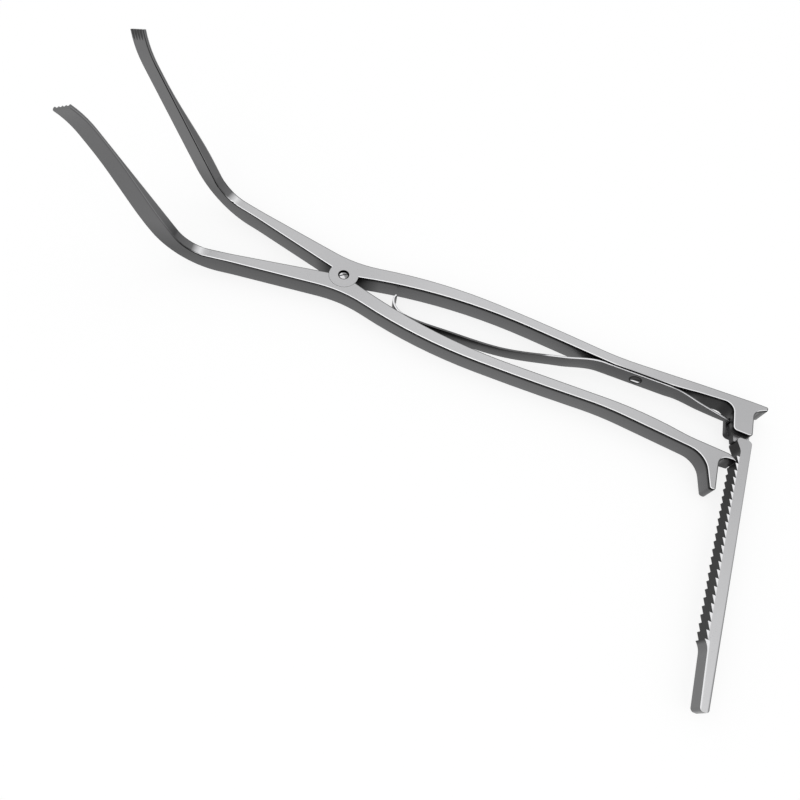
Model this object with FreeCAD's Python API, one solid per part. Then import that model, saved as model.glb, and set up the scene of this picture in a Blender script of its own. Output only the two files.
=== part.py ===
import FreeCAD, Part
import math
import os
from FreeCAD import Vector

# Vertebral distractor: two hand levers that meet in a half-lap joint and don't cross. Squeezing the
# handles spreads two upturned blades, and a toothed rack hung on one handle holds the pawl of the other.
# Frame: pivot axis on Z, undersides of the arms on Z = 0, +X to the blades, +Y to the pawl arm.
# Millimetres. Outlines are drawn for an arm on the +Y side; the rack arm is the mirror image.
# "Back" is a distance behind the pivot and "out" a distance from the mirror plane.

# Arms
ARM_THICKNESS = 8.0
EDGE_ROUND = 0.55
UNDER_CHAMFER = 0.4
FRONT_ANGLE = 10.9
FRONT_OFFSET = 4.0
FRONT_END_INNER = 2.2
FRONT_END_OUTER = 1.8
FRONT_BLEND = 4.0
FRONT_BLEND_RADIUS = 150.0
BEND_CORNER = 58.6
WAIST_BACK = 2.3
WAIST_OUT = 6.9
WAIST_RADIUS = 50.0

# Handles: the pawl's distance from the pivot sets their length
PAWL_REACH = 157.35
HANDLE_END_LEAD = 18.35
BOW_BACK = 35.4
BOW_OUT = 14.35
BOW_RADIUS = 193.0
BOW_FALL_LEAD = 59.5
BOW_FALL_OUT = 13.25
BOW_FALL_RADIUS = 900.0
HOLLOW_LEAD = 31.2
HOLLOW_OUT = 11.35
HOLLOW_RADIUS = 110.0
INNER_BOW_BACK = 38.75
INNER_BOW_OUT = 10.7
INNER_BOW_RADIUS = 210.0
INNER_HOLLOW_LEAD = 17.5
INNER_HOLLOW_OUT = 6.7
INNER_HOLLOW_RADIUS = 179.0
HANDLE_END_INNER = 9.45
HANDLE_END_OUTER = 13.6
HANDLE_END_RADIUS = 60.0

# Blades
BLADE_ANGLE = 67.0
BEND_TOP_RADIUS = 12.0
BEND_UNDER_RADIUS = 26.0
BLADE_LENGTH = 56.0
BLADE_TIP_DEPTH = 7.3
BLADE_TIP_THICKNESS = 1.4
BLADE_TAPER_START = 10.0
BLADE_TAPER_LENGTH = 35.0
BLADE_TAPER_RADIUS = 120.0
BLADE_RISE_RADIUS = 300.0
FLARE_LENGTH = 11.0
FLARE_RADIUS = 30.0
RIDGES = 5
GROOVE_RADIUS = 0.8
GROOVE_DEPTH = 0.4
GROOVE_RUNOUT_ANGLE = 4.0

# Half-lap joint and its screw
BOSS_RADIUS = 5.6
LAP_SIDE_CLEARANCE = 0.1
LAP_FACE_CLEARANCE = 0.06
NOTCH_REACH = 4.5
NOTCH_HALF_WIDTH = 1.07
SCREW_RADIUS = 1.25
SCREW_HEAD_RADIUS = 1.6
SCREW_HEAD_HEIGHT = 1.2
SCREW_DOME = 0.35
SCREW_SLOT_WIDTH = 0.5
SCREW_SLOT_DEPTH = 0.4
SCREW_SLOT_ANGLE = 35.0
COUNTERBORE_RADIUS = 2.05
COUNTERBORE_DEPTH = 1.6
RIVET_RADIUS = 2.0
RIVET_DEPTH = 0.7
RUNNING_CLEARANCE = 0.05

# Pawl and finger hook, with places forward of the pawl's reach
PAWL_HEIGHT = 12.0
PAWL_UNDER_LEAD = 2.35
PAWL_UNDER_DROP = 1.95
PAWL_UNDER_RADIUS = 4.5
ARCH_LEAD = 6.5
ARCH_RISE = 0.63
ARCH_RADIUS = 3.3
HOOK_LENGTH = 26.3
HOOK_END_ROUND = 1.0
HOOK_REAR_LEAD = 5.65
HOOK_FRONT_LEAD = 7.85
HOOK_ROOT_LEAD = 11.35
HOOK_ROOT_OUT = 14.2
HOOK_ROOT_RADIUS = 8.3

# Fork that carries the rack and the pointed flare behind it, with places from the rack's pin
RACK_PIN_LEAD = 0.25
RACK_PIN_HEIGHT = 4.5
RACK_PIN_RADIUS = 1.3
FORK_REAR = 3.95
FORK_FRONT = 3.45
FORK_REAR_LEAN = 0.85
FORK_FRONT_LEAN = 1.4
FORK_FRONT_ROUND = 1.7
FORK_REAR_ROUND = 1.4
FORK_ROOT_OUT = 10.7
FORK_ROOT_RADIUS = 3.5
FORK_NECK_OUT = 10.55
FORK_NECK_RADIUS = 3.6
FORK_SLOT = 3.2
FORK_SLOT_ROOM = 1.2
FLARE_TOP_OUT = 14.8
FLARE_TOP_BACK = 3.0
FLARE_TIP_BACK = 8.0
FLARE_TIP_HEIGHT = 1.7
FLARE_TIP_ROUND = 0.9
FLARE_TIP_LEAN = 0.3

# Ratchet rack
RACK_THICKNESS = 6.0
TONGUE_THICKNESS = 3.0
TONGUE_RADIUS = 3.3
TONGUE_ROOT = 1.5
TONGUE_INSET = 0.2
TOOTH_COUNT = 24
TOOTH_PITCH = 2.91
TOOTH_DEPTH = 1.15
FIRST_TOOTH = 9.25
RATCHET_CLEARANCE = 0.06
RACK_WIDTH = 4.65
RACK_SHOULDER = 1.5
RACK_HEAD_LEAD = 1.6
RACK_HEAD_ROUND = 1.4
RACK_HEAD_RUN = 2.6
RACK_HEAD_HOLLOW = 4.0
RACK_LENGTH = 97.3
RACK_LEAN = 0.25
GRIP_START = 1.7
GRIP_WIDTH = 3.3
GRIP_NECK_RADIUS = 6.0
GRIP_END_LEAN = 0.35
GRIP_END_WIDTH = 2.85
GRIP_ROUND = 1.1

# Leaf spring and its screw; its seat and its screw have places forward of the handle's end
SPRING_THICKNESS = 0.8
SPRING_WIDTH = 6.8
SPRING_FRONT_WIDTH = 5.4
SPRING_TAIL_WIDTH = 1.8
SEAT_FRONT_LEAD = 36.0
SEAT_REAR_LEAD = 8.0
SEAT_HEIGHT = 7.5
SEAT_RISE = 0.95
SEAT_RUNOUT = 3.0
SPRING_SCREW_LEAD = 22.4
SPRING_SCREW_RADIUS = 1.0
SPRING_SCREW_HEAD_RADIUS = 1.9
SPRING_SCREW_DEPTH = 3.0
SPRING_SCREW_SLOT = 0.5
SPRING_SCREW_TURN = 25.0
SPRING_LANDING_BACK = 28.0
SPRING_LANDING_HEIGHT = 5.86
SPRING_LANDING_SLOPE = -0.12
# Bow of the leaf: share of its free run from the seat, then height towards the pawl arm
SPRING_BOW = ((0.2, -2.6), (0.493, 3.55), (0.76, 5.35))
# Curled end of the leaf: distance forward of the landing, then height
SPRING_CURL = ((4.4, 4.25), (6.4, 1.9), (6.9, -0.1), (6.6, -1.3))
# Tail of the leaf: distance forward of the rack's pin, then height
SPRING_TAIL = ((3.7, -5.3), (15.1, -6.5))

HALF = ARM_THICKNESS / 2
HALF_BEND = math.tan(math.radians(BLADE_ANGLE / 2))
UNDER_CORNER = BEND_CORNER + ARM_THICKNESS * HALF_BEND
BLADE_FOOT = (BEND_TOP_RADIUS + ARM_THICKNESS) * HALF_BEND
BEND_START = min(BEND_CORNER - BEND_TOP_RADIUS * HALF_BEND, UNDER_CORNER - BEND_UNDER_RADIUS * HALF_BEND)
BLADE_ROOT = max(0.0, BEND_UNDER_RADIUS * HALF_BEND - BLADE_FOOT)
HANDLE_END = PAWL_REACH - HANDLE_END_LEAD
RACK_PIN_BACK = PAWL_REACH - RACK_PIN_LEAD
SEAT_FRONT = HANDLE_END - SEAT_FRONT_LEAD
SEAT_REAR = HANDLE_END - SEAT_REAR_LEAD
SPRING_SCREW_BACK = HANDLE_END - SPRING_SCREW_LEAD
LAP_LOW = HALF - LAP_FACE_CLEARANCE / 2
LAP_HIGH = HALF + LAP_FACE_CLEARANCE / 2
UP = Vector(0, 0, 1)
MARGIN = 5.0
CREASE = math.radians(20)
LEVEL = 0.5
# Halfway between what the upper side faces on the flat arm and on the blade
BEND_FACING = Vector(-math.sin(math.radians(BLADE_ANGLE / 2)), 0, math.cos(math.radians(BLADE_ANGLE / 2)))


class Outline:
    """A closed run of straight lines in the XY plane, each corner rounded by its own radius."""

    def __init__(self):
        self.points = []
        self.radii = []

    def corner(self, x, y, radius=0.0):
        self.points.append(Vector(x, y, 0))
        self.radii.append(radius)
        return self

    def corner_lengths(self):
        """Length that each round takes of its two lines, scaled down where two rounds would meet."""
        count = len(self.points)
        wanted = []
        for index, radius in enumerate(self.radii):
            arriving = self.points[index] - self.points[index - 1]
            leaving = self.points[(index + 1) % count] - self.points[index]
            wanted.append(radius * math.tan(arriving.getAngle(leaving) / 2))
        shares = []
        for index in range(count):
            line = self.points[index].distanceToPoint(self.points[index - 1])
            shares.append(min(1.0, line / max(wanted[index] + wanted[index - 1], line)))
        return [
            length * min(shares[index], shares[(index + 1) % count]) for index, length in enumerate(wanted)
        ]

    def wire(self):
        count = len(self.points)
        lengths = self.corner_lengths()
        edges = []
        for index, point in enumerate(self.points):
            after = self.points[(index + 1) % count]
            arriving = (point - self.points[index - 1]).normalize()
            leaving = (after - point).normalize()
            start = point - arriving * lengths[index]
            end = point + leaving * lengths[index]
            if lengths[index] > 0:
                half_turn = arriving.getAngle(leaving) / 2
                radius = lengths[index] / math.tan(half_turn)
                middle = point + (leaving - arriving).normalize() * radius * (1 / math.cos(half_turn) - 1)
                edges.append(Part.Arc(start, middle, end).toShape())
            line_end = after - leaving * lengths[(index + 1) % count]
            if end.distanceToPoint(line_end) > 1e-6:
                edges.append(Part.makeLine(end, line_end))
        return Part.Wire(Part.__sortEdges__(edges))

    def solid(self, low, high):
        """The outline extruded from height low to height high."""
        face = Part.Face(self.wire())
        face.translate(UP * low)
        return face.extrude(UP * (high - low))


def cylinder(x, y, radius, low, high):
    return Part.makeCylinder(radius, high - low, Vector(x, y, low), UP)


def mirrored(shape):
    """The same shape on the other side of the mirror plane."""
    return shape.mirror(Vector(0, 0, 0), Vector(0, 1, 0))


def upended(shape):
    """A shape drawn in plan, stood up so that its plan's Y is its height."""
    shape.rotate(Vector(0, 0, 0), Vector(1, 0, 0), 90)
    return shape


def front_point(along, side):
    """Plan position of a point on the front member, from its own length and side distances."""
    turn = math.radians(FRONT_ANGLE)
    x = along * math.cos(turn) - side * math.sin(turn)
    y = FRONT_OFFSET + along * math.sin(turn) + side * math.cos(turn)
    return x, y


def to_front_member(shape):
    """Move a shape from the front member's own frame to the instrument's frame."""
    turn = FreeCAD.Rotation(UP, FRONT_ANGLE)
    shape.Placement = FreeCAD.Placement(Vector(0, FRONT_OFFSET, 0), turn).multiply(shape.Placement)
    return shape


def to_blade(shape):
    """Move a shape from the blade's own frame to the instrument's frame."""
    turn = math.radians(BLADE_ANGLE)
    reach = ARM_THICKNESS + BEND_TOP_RADIUS
    foot = Vector(
        BEND_CORNER - BEND_TOP_RADIUS * HALF_BEND + reach * math.sin(turn), 0, reach * (1 - math.cos(turn))
    )
    stand = FreeCAD.Placement(foot, FreeCAD.Rotation(Vector(0, -1, 0), BLADE_ANGLE))
    shape.Placement = stand.multiply(shape.Placement)
    return to_front_member(shape)


def face_normals(shape, edge):
    """Normals of the two faces that meet in an edge, at the edge's middle."""
    middle = edge.valueAt((edge.FirstParameter + edge.LastParameter) / 2)
    normals = []
    for face in shape.ancestorsOfType(edge, Part.Face):
        normals.append(face.normalAt(*face.Surface.parameter(middle)))
    return normals


def upright(edge):
    return edge.BoundBox.XLength < 1e-6 and edge.BoundBox.YLength < 1e-6


def arm_body(handle_end):
    """Flat part of an arm on the +Y side, from the front bend to the handle's end."""
    straight = BEND_START - FRONT_BLEND
    outline = Outline()
    outline.corner(*front_point(BEND_START, FRONT_END_OUTER))
    outline.corner(*front_point(straight, FRONT_END_OUTER), FRONT_BLEND_RADIUS)
    outline.corner(-WAIST_BACK, WAIST_OUT, WAIST_RADIUS)
    outline.corner(-BOW_BACK, BOW_OUT, BOW_RADIUS)
    outline.corner(BOW_FALL_LEAD - HANDLE_END, BOW_FALL_OUT, BOW_FALL_RADIUS)
    outline.corner(HOLLOW_LEAD - HANDLE_END, HOLLOW_OUT, HOLLOW_RADIUS)
    outline.corner(-HANDLE_END, HANDLE_END_OUTER, HANDLE_END_RADIUS)
    handle_end(outline)
    outline.corner(-HANDLE_END, HANDLE_END_INNER, HANDLE_END_RADIUS)
    outline.corner(INNER_HOLLOW_LEAD - HANDLE_END, INNER_HOLLOW_OUT, INNER_HOLLOW_RADIUS)
    outline.corner(-INNER_BOW_BACK, INNER_BOW_OUT, INNER_BOW_RADIUS)
    outline.corner(-NOTCH_REACH, NOTCH_HALF_WIDTH)
    outline.corner(NOTCH_REACH, NOTCH_HALF_WIDTH)
    outline.corner(*front_point(straight, -FRONT_END_INNER), FRONT_BLEND_RADIUS)
    outline.corner(*front_point(BEND_START, -FRONT_END_INNER))
    return outline.solid(0, ARM_THICKNESS)


def hook_end(outline):
    """Finger hook, arch and pawl; the outline goes on from the handle's outer edge."""
    pawl_back = math.sqrt(PAWL_REACH ** 2 - PAWL_HEIGHT ** 2)
    outline.corner(HOOK_ROOT_LEAD - PAWL_REACH, HOOK_ROOT_OUT, HOOK_ROOT_RADIUS)
    outline.corner(HOOK_FRONT_LEAD - PAWL_REACH, HOOK_LENGTH, HOOK_END_ROUND)
    outline.corner(HOOK_REAR_LEAD - PAWL_REACH, HOOK_LENGTH, HOOK_END_ROUND)
    outline.corner(ARCH_LEAD - PAWL_REACH, PAWL_HEIGHT + ARCH_RISE, ARCH_RADIUS)
    outline.corner(-pawl_back, PAWL_HEIGHT)
    outline.corner(PAWL_UNDER_LEAD - PAWL_REACH, PAWL_HEIGHT - PAWL_UNDER_DROP, PAWL_UNDER_RADIUS)


def fork_end(outline):
    """Fork for the rack and the pointed flare behind it."""
    front = FORK_FRONT - RACK_PIN_BACK
    rear = -FORK_REAR - RACK_PIN_BACK
    tip = -FLARE_TIP_BACK - RACK_PIN_BACK
    outline.corner(-FLARE_TOP_BACK - RACK_PIN_BACK, FLARE_TOP_OUT, BOW_RADIUS)
    outline.corner(tip, FLARE_TOP_OUT, FLARE_TIP_ROUND)
    outline.corner(tip + FLARE_TIP_LEAN, FLARE_TOP_OUT - FLARE_TIP_HEIGHT, FLARE_TIP_ROUND / 2)
    outline.corner(rear + FORK_REAR_LEAN, FORK_NECK_OUT, FORK_NECK_RADIUS)
    outline.corner(rear, 0, FORK_REAR_ROUND)
    outline.corner(front, 0, FORK_FRONT_ROUND)
    outline.corner(front + FORK_FRONT_LEAN, FORK_ROOT_OUT, FORK_ROOT_RADIUS)


def bend_body():
    """Corner of the bar that turns up from the flat arm, in the front member's frame."""
    turn = math.radians(BLADE_ANGLE)
    blade_way = Vector(math.cos(turn), math.sin(turn), 0)
    top_end = Vector(BEND_CORNER, ARM_THICKNESS, 0) + blade_way * (BEND_TOP_RADIUS * HALF_BEND + BLADE_ROOT)
    under_end = Vector(UNDER_CORNER, 0, 0) + blade_way * (BLADE_FOOT + BLADE_ROOT)
    profile = Outline()
    profile.corner(BEND_START, 0)
    profile.corner(UNDER_CORNER, 0, BEND_UNDER_RADIUS)
    profile.corner(under_end.x, under_end.y)
    profile.corner(top_end.x, top_end.y)
    profile.corner(BEND_CORNER, ARM_THICKNESS, BEND_TOP_RADIUS)
    profile.corner(BEND_START, ARM_THICKNESS)
    return upended(profile.solid(-FRONT_END_OUTER, FRONT_END_INNER))


def flare_turn():
    """Angle that the blade's tip is turned outwards."""
    return math.asin(FLARE_LENGTH / FLARE_RADIUS)


def flare_end(run_on):
    """Inner corner of the tip in the blade's plan, or a point a run-on past it along the tip."""
    turn = flare_turn()
    x = BLADE_LENGTH - FLARE_LENGTH + FLARE_RADIUS * math.sin(turn) + run_on * math.cos(turn)
    y = -FRONT_END_INNER + FLARE_RADIUS * (1 - math.cos(turn)) + run_on * math.sin(turn)
    return Vector(x, y, 0)


def blade_body():
    """Blade in its own frame: X along it, Y outwards, Z from its underside to its upper edge."""
    turn = flare_turn()
    half_turn = math.tan(turn / 2)
    inner = -FRONT_END_INNER
    thin = inner + BLADE_TIP_THICKNESS
    flare_start = BLADE_LENGTH - FLARE_LENGTH
    outer_radius = FLARE_RADIUS - BLADE_TIP_THICKNESS
    inner_end = flare_end(MARGIN)
    outer_end = inner_end + Vector(-math.sin(turn), math.cos(turn), 0) * BLADE_TIP_THICKNESS
    plan = Outline()
    plan.corner(BLADE_ROOT, inner)
    plan.corner(flare_start + FLARE_RADIUS * half_turn, inner, FLARE_RADIUS)
    plan.corner(inner_end.x, inner_end.y)
    plan.corner(outer_end.x, outer_end.y)
    plan.corner(flare_start + outer_radius * half_turn, thin, outer_radius)
    plan.corner(BLADE_TAPER_LENGTH, thin, BLADE_TAPER_RADIUS)
    plan.corner(BLADE_TAPER_START, FRONT_END_OUTER, BLADE_TAPER_RADIUS)
    plan.corner(BLADE_ROOT, FRONT_END_OUTER)
    side = Outline()
    side.corner(BLADE_ROOT, 0)
    side.corner(BLADE_TAPER_START, 0, BLADE_RISE_RADIUS)
    side.corner(BLADE_LENGTH, ARM_THICKNESS - BLADE_TIP_DEPTH, BLADE_RISE_RADIUS)
    side.corner(BLADE_LENGTH + MARGIN, ARM_THICKNESS - BLADE_TIP_DEPTH)
    side.corner(BLADE_LENGTH + MARGIN, ARM_THICKNESS)
    side.corner(BLADE_ROOT, ARM_THICKNESS)
    depth = upended(side.solid(-2 * MARGIN, 2 * MARGIN))
    return plan.solid(0, ARM_THICKNESS).common(depth)


def past_the_tip():
    """Waste past the blade's end, in the blade's frame."""
    corner = flare_end(0)
    waste = Part.makeBox(2 * MARGIN, 4 * MARGIN, ARM_THICKNESS + 2 * MARGIN, Vector(0, -2 * MARGIN, -MARGIN))
    waste.rotate(Vector(0, 0, 0), UP, math.degrees(flare_turn()))
    waste.translate(corner)
    return waste


def tip_grooves():
    """Cutters of the grooves between the ridges on the inner face of the tip, in the blade's frame."""
    turn = flare_turn()
    slope = turn + math.radians(GROOVE_RUNOUT_ANGLE)
    away = Vector(math.sin(turn), -math.cos(turn), 0)
    back = Vector(-math.cos(slope), -math.sin(slope), 0)
    rise = ARM_THICKNESS - BLADE_TIP_DEPTH
    pitch = BLADE_TIP_DEPTH / RIDGES
    cutters = []
    for index in range(1, RIDGES):
        start = flare_end(0) + UP * (rise + index * pitch) + away * (GROOVE_RADIUS - GROOVE_DEPTH) - back
        cutters.append(Part.makeCylinder(GROOVE_RADIUS, FLARE_LENGTH, start, back))
    return cutters


def long_edges(arm, side):
    """Creased edges along the upper side (1) or the underside (-1) of a bar, the blade's end left out."""
    end = max(arm.Faces, key=lambda face: face.CenterOfMass.z)
    found = []
    for edge in arm.Edges:
        at_end = any(edge.isSame(other) for other in end.Edges)
        normals = face_normals(arm, edge)
        creased = normals[0].getAngle(normals[-1]) > CREASE
        facing = (BEND_FACING if edge.CenterOfMass.x > 0 else UP) * side
        if creased and not at_end and not upright(edge) and max(way.dot(facing) for way in normals) > LEVEL:
            found.append(edge)
    return found


def whole_arm(handle_end):
    """One forged arm without its share of the joint, on the +Y side."""
    arm = arm_body(handle_end).fuse([to_front_member(bend_body()), to_blade(blade_body())]).removeSplitter()
    arm = arm.makeChamfer(UNDER_CHAMFER, long_edges(arm, -1))
    arm = arm.makeFillet(EDGE_ROUND, long_edges(arm, 1))
    for waste in [past_the_tip()] + tip_grooves():
        arm = arm.cut(to_blade(waste))
    return arm


def pawl_arm():
    arm = whole_arm(hook_end)
    arm = arm.cut(cylinder(0, 0, BOSS_RADIUS + LAP_SIDE_CLEARANCE, LAP_LOW, ARM_THICKNESS + MARGIN))
    arm = arm.fuse(cylinder(0, 0, BOSS_RADIUS, 0, LAP_LOW))
    arm = arm.cut(cylinder(0, 0, SCREW_RADIUS + RUNNING_CLEARANCE, -MARGIN, ARM_THICKNESS))
    seat = Part.makeCone(
        RIVET_RADIUS + RUNNING_CLEARANCE, SCREW_RADIUS + RUNNING_CLEARANCE, RIVET_DEPTH, Vector(0, 0, 0), UP
    )
    return arm.cut(seat)


def seat_line():
    """Two ends of the flat that the spring is clamped on, on the rack arm's inner face."""
    front = Vector(-SEAT_FRONT, -SEAT_HEIGHT, 0)
    rear = Vector(-SEAT_REAR, -SEAT_HEIGHT - SEAT_RISE, 0)
    return front, rear


def seat_frame():
    """Direction along the seat towards the pivot, and the direction out of the seat."""
    front, rear = seat_line()
    along = (front - rear).normalize()
    return along, Vector(-along.y, along.x, 0)


def spring_screw_seat():
    """Point on the seat where the spring's screw goes in."""
    front, rear = seat_line()
    share = (SPRING_SCREW_BACK - SEAT_FRONT) / (SEAT_REAR - SEAT_FRONT)
    return front + (rear - front) * share + UP * HALF


def fork_slot():
    """Room for the rack's tongue, open to the fork's free end."""
    room = TONGUE_RADIUS + FORK_SLOT_ROOM
    low = HALF - FORK_SLOT / 2
    corner = Vector(-RACK_PIN_BACK - room, -RACK_PIN_HEIGHT, low)
    mouth = Part.makeBox(2 * room, RACK_PIN_HEIGHT + MARGIN, FORK_SLOT, corner)
    return mouth.fuse(cylinder(-RACK_PIN_BACK, -RACK_PIN_HEIGHT, room, low, low + FORK_SLOT))


def spring_seat():
    """Waste over the flat on the inner face that the spring is clamped on."""
    front, rear = seat_line()
    along, out = seat_frame()
    start = rear - along * SEAT_RUNOUT
    end = front + along * SEAT_RUNOUT
    flat = Part.makePolygon([start, end, end + out * MARGIN, start + out * MARGIN, start])
    flat.translate(UP * -MARGIN)
    return Part.Face(flat).extrude(UP * (ARM_THICKNESS + 2 * MARGIN))


def rack_arm():
    arm = mirrored(whole_arm(fork_end))
    along, out = seat_frame()
    counterbore = ARM_THICKNESS - COUNTERBORE_DEPTH
    arm = arm.cut(cylinder(0, 0, BOSS_RADIUS + LAP_SIDE_CLEARANCE, -MARGIN, LAP_HIGH))
    arm = arm.fuse(cylinder(0, 0, BOSS_RADIUS, LAP_HIGH, ARM_THICKNESS))
    arm = arm.cut(cylinder(0, 0, SCREW_RADIUS, 0, ARM_THICKNESS + MARGIN))
    arm = arm.cut(cylinder(0, 0, COUNTERBORE_RADIUS, counterbore, ARM_THICKNESS + MARGIN))
    arm = arm.cut(fork_slot())
    arm = arm.cut(cylinder(-RACK_PIN_BACK, -RACK_PIN_HEIGHT, RACK_PIN_RADIUS, 0, ARM_THICKNESS))
    arm = arm.cut(spring_seat())
    return arm.cut(Part.makeCylinder(SPRING_SCREW_RADIUS, SPRING_SCREW_DEPTH, spring_screw_seat(), out * -1))


def pivot_screw():
    """Slotted screw, headed in the rack arm's boss and riveted over in the pawl arm's underside."""
    shoulder = ARM_THICKNESS - COUNTERBORE_DEPTH
    top = shoulder + SCREW_HEAD_HEIGHT
    body = cylinder(0, 0, SCREW_RADIUS, 0, shoulder)
    body = body.fuse(cylinder(0, 0, SCREW_HEAD_RADIUS, shoulder, top))
    ball = (SCREW_HEAD_RADIUS ** 2 + SCREW_DOME ** 2) / (2 * SCREW_DOME)
    dome = Part.makeSphere(ball, Vector(0, 0, top + SCREW_DOME - ball))
    body = body.fuse(dome.common(cylinder(0, 0, SCREW_HEAD_RADIUS, top, top + SCREW_DOME)))
    rivet = Part.makeCone(RIVET_RADIUS, SCREW_RADIUS, RIVET_DEPTH, Vector(0, 0, 0), UP)
    body = body.fuse(rivet)
    slot = Part.makeBox(
        2 * SCREW_HEAD_RADIUS,
        SCREW_SLOT_WIDTH,
        SCREW_SLOT_DEPTH + SCREW_DOME,
        Vector(-SCREW_HEAD_RADIUS, -SCREW_SLOT_WIDTH / 2, top - SCREW_SLOT_DEPTH),
    )
    slot.rotate(Vector(0, 0, 0), UP, SCREW_SLOT_ANGLE)
    return body.cut(slot).removeSplitter()


def rack_pin():
    return cylinder(-RACK_PIN_BACK, -RACK_PIN_HEIGHT, RACK_PIN_RADIUS, 0, ARM_THICKNESS)


def tooth_line():
    """Distance behind the pivot of the tooth tips, just clear of the pawl's sweep past the second tooth."""
    passing = FIRST_TOOTH + TOOTH_PITCH
    return math.sqrt(PAWL_REACH ** 2 - passing ** 2) + RATCHET_CLEARANCE


def rack_bar():
    """Bar of the rack with its saw teeth and its finger grip."""
    tips = tooth_line()
    roots = tips + TOOTH_DEPTH
    rear = tips + RACK_WIDTH
    last_tooth = FIRST_TOOTH + (TOOTH_COUNT - 1) * TOOTH_PITCH
    outline = Outline()
    outline.corner(-rear, RACK_SHOULDER, RACK_HEAD_ROUND)
    outline.corner(RACK_HEAD_LEAD - tips, RACK_SHOULDER, RACK_HEAD_ROUND)
    outline.corner(-roots, FIRST_TOOTH - RACK_HEAD_RUN, RACK_HEAD_HOLLOW)
    outline.corner(-roots, FIRST_TOOTH)
    for index in range(TOOTH_COUNT):
        edge = FIRST_TOOTH + index * TOOTH_PITCH
        outline.corner(-tips, edge)
        if index < TOOTH_COUNT - 1:
            outline.corner(-roots, edge + TOOTH_PITCH)
    outline.corner(GRIP_WIDTH - rear, last_tooth + GRIP_START, GRIP_NECK_RADIUS)
    outline.corner(GRIP_END_WIDTH - GRIP_END_LEAN - rear, RACK_LENGTH, GRIP_ROUND)
    outline.corner(-rear - GRIP_END_LEAN, RACK_LENGTH, GRIP_ROUND)
    return outline.solid(HALF - RACK_THICKNESS / 2, HALF + RACK_THICKNESS / 2)


def rack_tongue():
    """Thin web below the bar that turns on the pin in the fork."""
    tips = tooth_line()
    rear = tips + RACK_WIDTH
    low = HALF - TONGUE_THICKNESS / 2
    high = HALF + TONGUE_THICKNESS / 2
    root = RACK_SHOULDER + TONGUE_ROOT
    outline = Outline()
    outline.corner(TONGUE_RADIUS - RACK_PIN_BACK, -RACK_PIN_HEIGHT)
    outline.corner(RACK_HEAD_LEAD - TONGUE_INSET - tips, root)
    outline.corner(TONGUE_INSET - rear, root)
    outline.corner(-TONGUE_RADIUS - RACK_PIN_BACK, -RACK_PIN_HEIGHT)
    eye = cylinder(-RACK_PIN_BACK, -RACK_PIN_HEIGHT, TONGUE_RADIUS, low, high)
    return outline.solid(low, high).fuse(eye)


def ratchet_rack():
    """Rack with its tongue, saw teeth and finger grip."""
    hole = cylinder(-RACK_PIN_BACK, -RACK_PIN_HEIGHT, RACK_PIN_RADIUS + RUNNING_CLEARANCE, 0, ARM_THICKNESS)
    rack = rack_bar().fuse(rack_tongue()).cut(hole).removeSplitter()
    rack.rotate(Vector(-RACK_PIN_BACK, -RACK_PIN_HEIGHT, 0), UP, RACK_LEAN)
    return rack


def spline(points, leave, arrive):
    curve = Part.BSplineCurve()
    curve.interpolate(Points=points, InitialTangent=leave, FinalTangent=arrive)
    return curve


def spring_path():
    """Middle line of the leaf in plan: tail, clamped flat, bowed front leaf and curled end."""
    front, rear = seat_line()
    along, out = seat_frame()
    clamp_front = front + out * (SPRING_THICKNESS / 2)
    clamp_rear = rear + out * (SPRING_THICKNESS / 2)
    free_run = SEAT_FRONT - SPRING_LANDING_BACK
    tail = [Vector(lead - RACK_PIN_BACK, height, 0) for lead, height in SPRING_TAIL]
    bow = [Vector(share * free_run - SEAT_FRONT, height, 0) for share, height in SPRING_BOW]
    landing = Vector(-SPRING_LANDING_BACK, SPRING_LANDING_HEIGHT, 0)
    curl = [Vector(lead - SPRING_LANDING_BACK, height, 0) for lead, height in SPRING_CURL]
    level = Vector(1, SPRING_LANDING_SLOPE, 0)
    return [
        spline(tail + [clamp_rear], Vector(1, -0.05, 0), along),
        Part.LineSegment(clamp_rear, clamp_front),
        spline([clamp_front] + bow + [landing], along, level),
        spline([landing] + curl, level, Vector(-0.3, -1, 0)),
    ]


def banded(curve, distance, samples=9):
    """Curve set off to one side of another, through evenly spread points."""
    low, high = curve.FirstParameter, curve.LastParameter
    points = []
    for index in range(samples):
        at = low + (high - low) * index / (samples - 1)
        heading = curve.tangent(at)[0]
        points.append(curve.value(at) + Vector(-heading.y, heading.x, 0) * distance)
    side = Part.BSplineCurve()
    first = curve.tangent(low)[0]
    last = curve.tangent(high)[0]
    side.interpolate(Points=points, InitialTangent=first, FinalTangent=last)
    return side


def spring_width_mask():
    """Side view of the leaf, wide where it is clamped and narrower to both ends."""
    tail_end = SPRING_TAIL[0][0] - RACK_PIN_BACK
    taper_end = SPRING_BOW[1][0] * (SEAT_FRONT - SPRING_LANDING_BACK) - SEAT_FRONT
    stations = (
        (tail_end - MARGIN, SPRING_TAIL_WIDTH),
        (tail_end, SPRING_TAIL_WIDTH),
        (-SEAT_REAR, SPRING_WIDTH),
        (-SEAT_FRONT, SPRING_WIDTH),
        (taper_end, SPRING_FRONT_WIDTH),
        (0.0, SPRING_FRONT_WIDTH),
    )
    outline = Outline()
    for x, width in stations:
        outline.corner(x, HALF + width / 2)
    for x, width in reversed(stations):
        outline.corner(x, HALF - width / 2)
    return upended(outline.solid(-4 * MARGIN, 4 * MARGIN))


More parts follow.
